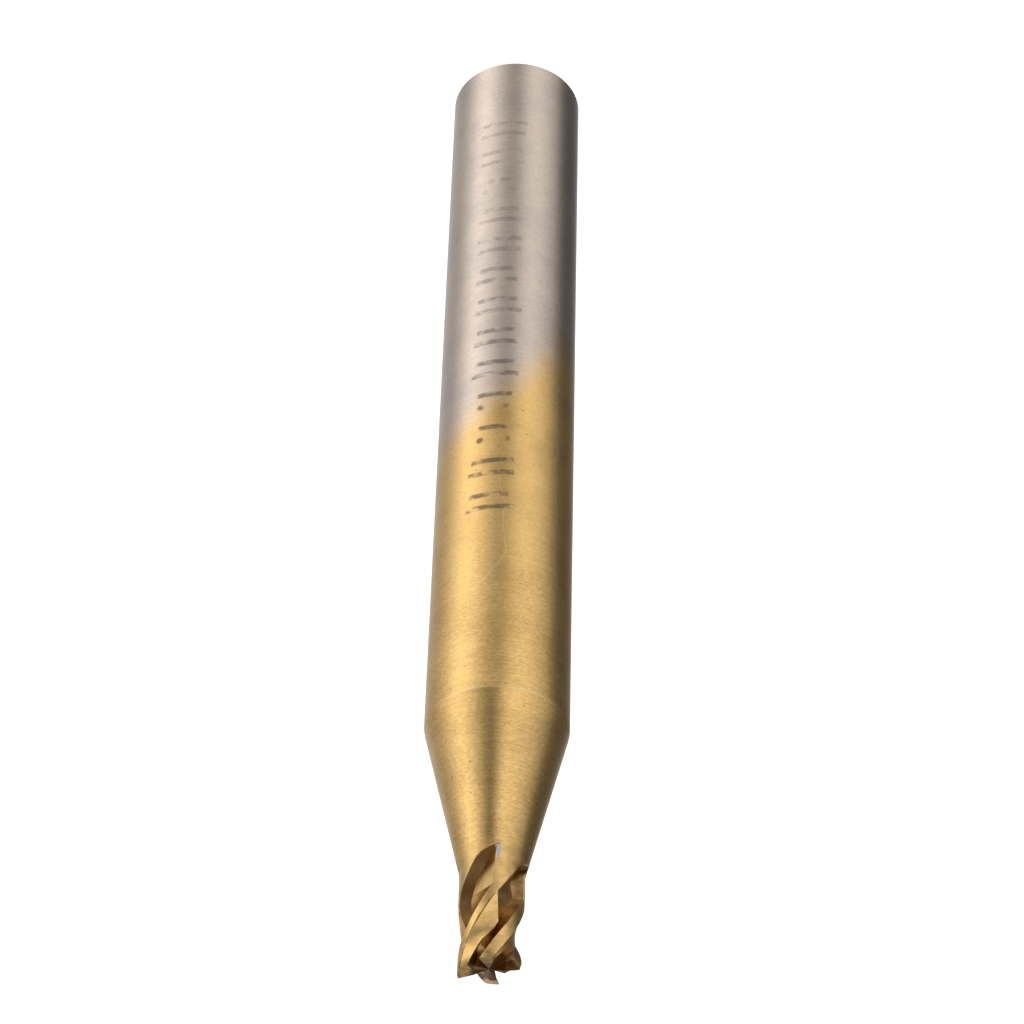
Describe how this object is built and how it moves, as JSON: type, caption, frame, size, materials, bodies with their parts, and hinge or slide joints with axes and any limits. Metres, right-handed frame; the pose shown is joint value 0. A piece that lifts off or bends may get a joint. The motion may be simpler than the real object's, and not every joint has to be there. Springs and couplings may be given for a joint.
{
  "type": "end mill",
  "caption": "Small four-flute end mill with a coned neck and a larger plain shank, gold-coated cutting half and bare ground steel shank end",
  "frame": {"origin": "centre of the rear end face of the shank, where the tool stands", "axes": "+Z along the tool's axis, from the shank end to the cutting end; +X and +Y square to it, with the even place of the first tooth 74 degrees from +X towards -Y"},
  "size_m": [0.006, 0.006, 0.05],
  "materials": {
    "ground_steel": "ground",
    "gold_coating": "ground steel under a thin gold nitride coating",
    "worn_coating": "gold nitride coating, browned and worn at the cutting edges"
  },
  "bodies": {
    "root": {"shank_rear": "ground_steel", "shank_front": "gold_coating", "neck_cone": "gold_coating", "web_core": "worn_coating", "tooth_1": "worn_coating", "tooth_2": "worn_coating", "tooth_3": "worn_coating", "tooth_4": "worn_coating"}
  },
  "joints": []
}
